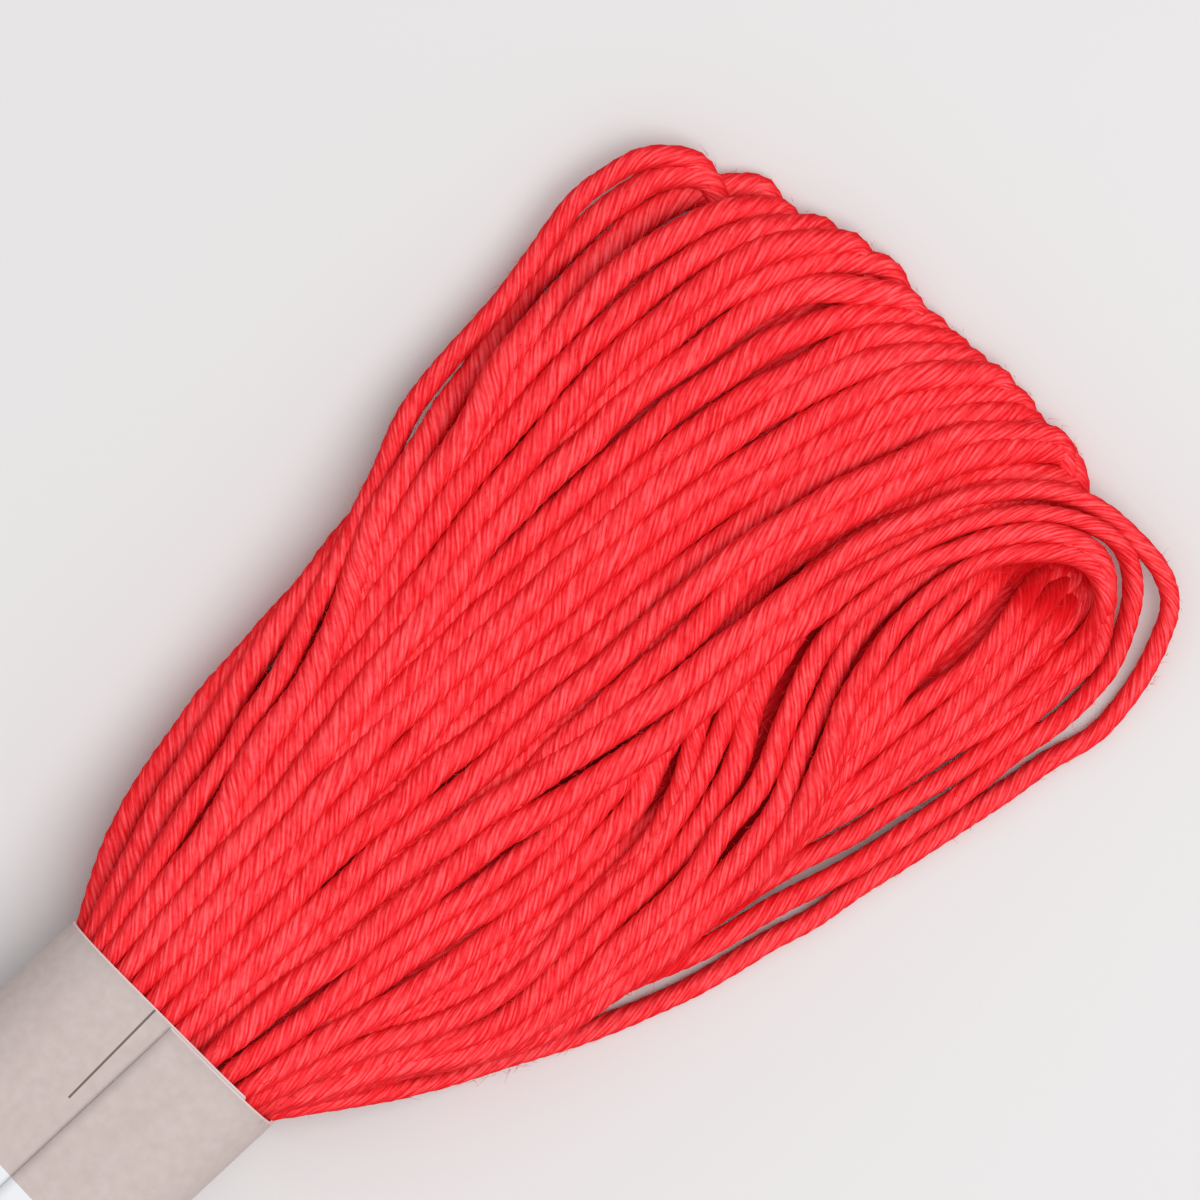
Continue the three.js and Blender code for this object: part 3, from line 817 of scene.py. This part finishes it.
def fuzz(name, open_threads, count):
    """Hairs rooted at random on the upper half of the open threads."""
    each = (count, 1)
    picked = open_threads[rng.integers(len(open_threads), size=count)]
    ahead = unit(picked[:, 3:6]) * rng.choice((-1.0, 1.0), each)
    side = unit(np.cross((0.0, 0.0, 1.0), ahead))
    above = np.cross(ahead, side)
    around = math.pi * rng.beta(ROOT_SPREAD, ROOT_SPREAD, each)
    across = side * np.cos(around)
    up = above * np.sin(around)
    outward = across + up
    root = picked[:, :3] + (across * picked[:, 6:] + up * HALF_HEIGHT) * ROOT_DEPTH
    lean = unit(ahead * rng.uniform(*LEAN_ALONG, each) + outward * rng.uniform(*LEAN_OUT, each))
    curl = rng.normal(0.0, CURL, (count, 3)) - outward * CURL_IN
    length = rng.gamma(LENGTH_SHAPE, LENGTH_SCALE, each) + LEAST_LENGTH
    part = np.linspace(0.0, 1.0, HAIR_STEPS)[None, :, None]
    middle = root[:, None] + length[:, None] * (lean[:, None] * part + curl[:, None] * part**2)
    middle[..., 2] = np.maximum(middle[..., 2], ABOVE_TABLE)
    across_hair = unit(np.cross(lean, OFF_AXIS))[:, None, None]
    over_hair = np.cross(lean[:, None, None], across_hair)
    turn = np.arange(HAIR_SIDES)[None, None, :, None] * 2 * math.pi / HAIR_SIDES
    thick = HAIR_RADIUS * (1 - HAIR_TAPER * part[..., None])
    corners = middle[:, :, None] + thick * (across_hair * np.cos(turn) + over_hair * np.sin(turn))
    per_hair = HAIR_STEPS * HAIR_SIDES
    total = count * per_hair
    number = np.arange(total).reshape(count, HAIR_STEPS, HAIR_SIDES)
    after = np.roll(number, -1, axis=2)
    quads = np.stack([number[:, :-1], after[:, :-1], after[:, 1:], number[:, 1:]], axis=-1).reshape(-1, 4)
    caps = [*number[:, 0, ::-1], *number[:, -1]]
    along_helix = np.repeat(rng.uniform(0.0, HELIX_LENGTH, count), per_hair)
    helix = np.column_stack([np.ones(total), np.zeros(total), along_helix])
    shade = np.repeat(rng.random(count), per_hair)
    item = dict(corners=corners.reshape(-1, 3), quads=quads, caps=caps, helix=helix, shade=shade,
                crest=np.full(total, HAIR_CREST), flank=np.full(total, HAIR_PAINTED_LIGHT))
    dress(thread_mesh(name, [item]), "skein", [RED_COTTON])


fuzz("wide_loop_fuzz", wide_open, 8000)
fuzz("plain_loop_fuzz", plain_open, 3000)


# Band
# One strip of uncoated paper, wrapped round the middle of the skein and lapped on top, where its outer end is
# glued down over its inner end. Printed grey-beige near its edges and white between, white where cut.
PAPER_THICKNESS = 0.13
BAND_HALF_WIDTH = 4.7
BAND_HEIGHT = 6.4
BAND_LOWER_RADIUS = 2.2
BAND_UPPER_RADIUS = 2.7
INNER_END_SIDE = -3.5
LAP_SIDE = -0.1
LAP_LIFT = 0.17
CUT_SLANT = 0.05
MOUTH_EASE = 0.1
CORNER_STEPS = 10
FLAT_STEPS = 9
LAP_STEPS = 6
LENGTH_STEPS = 39

# Added to the length at the seen end, in the middle and for each millimetre of side: on the lap and off it.
LAP_TRIM = (-0.12, -0.03)
TRIM = (-0.04, -0.035)
TRIM_POWER = 8

# The print ends PRINTED_LENGTH from the band's ends. The rule's ends are (length, side) points.
PRINTED_LENGTH = 7.2
RULE_START = (HALF_BAND - 4.03, 0.525)
RULE_END = (HALF_BAND - 0.1, 0.69)
RULE_WIDTH = 0.08
RULE_INK = (0.16, 0.115, 0.10)
WHITE_PAPER = (0.75, 0.765, 0.79)
BEIGE_TONES = ((0.3, (0.51, 0.424, 0.402)), (0.7, (0.555, 0.467, 0.449)))
CORE_TONES = ((0.0, (0.76, 0.74, 0.73)), (1.0, (0.83, 0.81, 0.80)))
TOOTH_DEPTH = 0.02


def band_route():
    """The paper's outer face across the skein, from its inner end to its outer one, as (side, height)."""
    upper = BAND_UPPER_RADIUS
    lower = BAND_LOWER_RADIUS
    points = []

    def corner(side, height, radius, first, last):
        for angle in np.radians(np.linspace(first, last, CORNER_STEPS)):
            points.append((side + radius * math.cos(angle), height + radius * math.sin(angle)))

    reach = BAND_HALF_WIDTH - upper
    low_reach = BAND_HALF_WIDTH - lower
    inner_angle = 90.0 + math.degrees(math.asin((-INNER_END_SIDE - reach) / upper))
    corner(-reach, BAND_HEIGHT - upper, upper, inner_angle, 90.0)
    points += [(side, BAND_HEIGHT) for side in np.linspace(-reach, reach, FLAT_STEPS)[1:-1]]
    corner(reach, BAND_HEIGHT - upper, upper, 90.0, 0.0)
    corner(low_reach, lower, lower, 0.0, -90.0)
    points += [(side, 0.0) for side in np.linspace(low_reach, -low_reach, FLAT_STEPS)[1:-1]]
    corner(-low_reach, lower, lower, -90.0, -180.0)
    lifted = len(points)
    corner(-reach, BAND_HEIGHT - upper, upper, 180.0, 90.0)
    points += [(side, BAND_HEIGHT) for side in np.linspace(-reach, LAP_SIDE, LAP_STEPS)[1:]]
    return np.array(points), lifted


def band_mesh():
    """The paper as a thin closed sheet, its outer face, inner face and four cut edges, and its length."""
    route, lifted = band_route()
    along = np.gradient(route, axis=0)
    along /= np.linalg.norm(along, axis=1)[:, None]
    outward = np.stack([-along[:, 1], along[:, 0]], axis=1)
    steps = len(route)
    lift = LAP_LIFT * smoothstep(np.arange(steps), lifted - CORNER_STEPS // 2, lifted + CORNER_STEPS)
    outer = route + outward * lift[:, None]
    inner = outer - outward * PAPER_THICKNESS
    side = route[:, 0]
    lapped = np.arange(steps) >= lifted
    trim = np.where(lapped, LAP_TRIM[0] + LAP_TRIM[1] * side, TRIM[0] + TRIM[1] * side)
    corners = []
    for face, end in ((outer, HALF_BAND + MOUTH_EASE), (inner, HALF_BAND + MOUTH_EASE + CUT_SLANT)):
        for share in np.linspace(-1.0, 1.0, LENGTH_STEPS):
            length = share * (end + trim * max(share, 0.0) ** TRIM_POWER)
            corners.append(np.column_stack([length, face]))
    corners = np.array(corners)
    corners[..., 2] = np.maximum(corners[..., 2], 0.0)
    faces = []
    core = []

    def strip(a, b, c, d, is_core):
        faces.extend(np.stack([a.ravel(), b.ravel(), c.ravel(), d.ravel()], axis=1).tolist())
        core.extend([is_core] * a.size)

    top, under = np.arange(2 * LENGTH_STEPS * steps).reshape(2, LENGTH_STEPS, steps)
    strip(top[:-1, :-1], top[:-1, 1:], top[1:, 1:], top[1:, :-1], False)
    strip(under[:-1, :-1], under[1:, :-1], under[1:, 1:], under[:-1, 1:], True)
    strip(top[0, :-1], under[0, :-1], under[0, 1:], top[0, 1:], True)
    strip(top[-1, :-1], top[-1, 1:], under[-1, 1:], under[-1, :-1], True)
    strip(top[:-1, 0], top[1:, 0], under[1:, 0], under[:-1, 0], True)
    strip(top[:-1, -1], under[:-1, -1], under[1:, -1], top[1:, -1], True)
    mesh = bpy.data.meshes.new("paper_band")
    mesh.from_pydata((corners.reshape(-1, 3) * MM).tolist(), [], faces)
    mesh.polygons.foreach_set("material_index", np.array(core, int))
    mesh.polygons.foreach_set("use_smooth", ~np.array(core))
    mesh.update()
    made = bpy.data.objects.new("paper_band", mesh)
    bpy.context.collection.objects.link(made)
    return made, np.linalg.norm(np.diff(outer, axis=0), axis=1).sum()


def paper_tooth():
    """The fine felted tooth of uncoated paper, as a group that both faces of the band share."""
    group = bpy.data.node_groups.new("paper_tooth", "ShaderNodeTree")
    group.interface.new_socket("Fineness", in_out="INPUT", socket_type="NodeSocketFloat")
    group.interface.new_socket("Height", in_out="OUTPUT", socket_type="NodeSocketFloat")
    start = group.nodes.new("NodeGroupInput")
    end = group.nodes.new("NodeGroupOutput")
    place = group.nodes.new("ShaderNodeTexCoord")
    felt = group.nodes.new("ShaderNodeTexNoise")
    felt.inputs["Detail"].default_value = 4.0
    group.links.new(place.outputs["Object"], felt.inputs["Vector"])
    group.links.new(start.outputs["Fineness"], felt.inputs["Scale"])
    group.links.new(felt.outputs["Fac"], end.inputs["Height"])
    return group


PAPER_TOOTH = paper_tooth()


def plain_paper(name, fineness, strength):
    """Matte uncoated paper with its tooth: the material, its node tree, its shader and the place on it."""
    finish, tree, shader = new_finish(name, roughness=0.75, gloss=0.3)
    tooth = tree.nodes.new("ShaderNodeGroup")
    tooth.node_tree = PAPER_TOOTH
    tooth.inputs["Fineness"].default_value = fineness
    emboss(tree, shader, tooth.outputs["Height"], strength, TOOTH_DEPTH)
    return finish, tree, shader, tree.nodes.new("ShaderNodeTexCoord").outputs["Object"]


def core_paper():
    """The white inside of the paper, which shows on its cut edges and its back."""
    finish, tree, shader, place = plain_paper("paper_core", fineness=14000.0, strength=0.4)
    fibres = speckle(tree, place, 6000.0, 2.0)
    tree.links.new(colour_by(tree, fibres, CORE_TONES), shader.inputs["Base Color"])
    return finish


def printed_paper():
    """The outer face: grey-beige near the ends, white between, and one plain dark rule on the seen end."""
    finish, tree, shader, place = plain_paper("printed_paper", fineness=9000.0, strength=0.25)

    def mix(mask, under, over):
        node = tree.nodes.new("ShaderNodeMix")
        node.data_type = "RGBA"
        tree.links.new(mask, node.inputs["Factor"])
        for socket, value in ((node.inputs[6], under), (node.inputs[7], over)):
            if isinstance(value, tuple):
                socket.default_value = (*value, 1.0)
            else:
                tree.links.new(value, socket)
        return node.outputs[2]

    axes = tree.nodes.new("ShaderNodeSeparateXYZ")
    tree.links.new(place, axes.inputs["Vector"])
    length, side, height = (axes.outputs[axis] for axis in "XYZ")
    printed_from = (HALF_BAND - PRINTED_LENGTH) * MM
    near_end = calculate(tree, "GREATER_THAN", calculate(tree, "ABSOLUTE", length), printed_from)
    beige = colour_by(tree, speckle(tree, place, 2500.0, 3.0), BEIGE_TONES)
    rule_slope = (RULE_END[1] - RULE_START[1]) / (RULE_END[0] - RULE_START[0])
    rule_base = (RULE_START[1] - rule_slope * RULE_START[0]) * MM
    rule_side = calculate(tree, "MULTIPLY_ADD", length, rule_slope, rule_base)
    beside = calculate(tree, "ABSOLUTE", calculate(tree, "SUBTRACT", side, rule_side))
    on_rule = calculate(tree, "LESS_THAN", beside, RULE_WIDTH / 2 * MM)
    past_start = calculate(tree, "GREATER_THAN", length, RULE_START[0] * MM)
    on_top = calculate(tree, "GREATER_THAN", height, BAND_HEIGHT / 2 * MM)
    on_rule = calculate(tree, "MULTIPLY", calculate(tree, "MULTIPLY", on_rule, past_start), on_top)
    ground = mix(near_end, WHITE_PAPER, beige)
    tree.links.new(mix(on_rule, ground, RULE_INK), shader.inputs["Base Color"])
    return finish


paper_band, paper_length = band_mesh()
dress(paper_band, "band", [printed_paper(), core_paper()])


# Floor and light
# A plain pale table, a large soft lamp high up on the right and an even light from all round.
TABLE_SIZE = 3000.0
LAMP_PLACE = Vector((HALF_BAND + 75.0, -110.0, 340.0))
LAMP_TARGET = Vector((HALF_BAND + 15.0, 0.0, 0.0))
LAMP_SIZE = 280.0
LAMP_POWER = 0.88
ROOM_LIGHT = 0.615

bpy.ops.mesh.primitive_plane_add(size=TABLE_SIZE * MM)
floor = bpy.context.object
floor.name = "floor"
pale_table, _, table_shader = new_finish("pale_table", roughness=0.9, gloss=0.5)
table_shader.inputs["Base Color"].default_value = (0.71, 0.70, 0.70, 1.0)
floor.data.materials.append(pale_table)

lamp_data = bpy.data.lights.new("key_lamp", "AREA")
lamp_data.size = LAMP_SIZE * MM
lamp_data.energy = LAMP_POWER
lamp = bpy.data.objects.new("key_lamp", lamp_data)
lamp.location = LAMP_PLACE * MM
lamp.rotation_euler = (LAMP_TARGET - LAMP_PLACE).to_track_quat("-Z", "Y").to_euler()
bpy.context.collection.objects.link(lamp)

room = bpy.data.worlds.new("room")
room.use_nodes = True
room.node_tree.nodes["Background"].inputs["Color"].default_value = (1.0, 1.0, 1.0, 1.0)
room.node_tree.nodes["Background"].inputs["Strength"].default_value = ROOM_LIGHT
bpy.context.scene.world = room
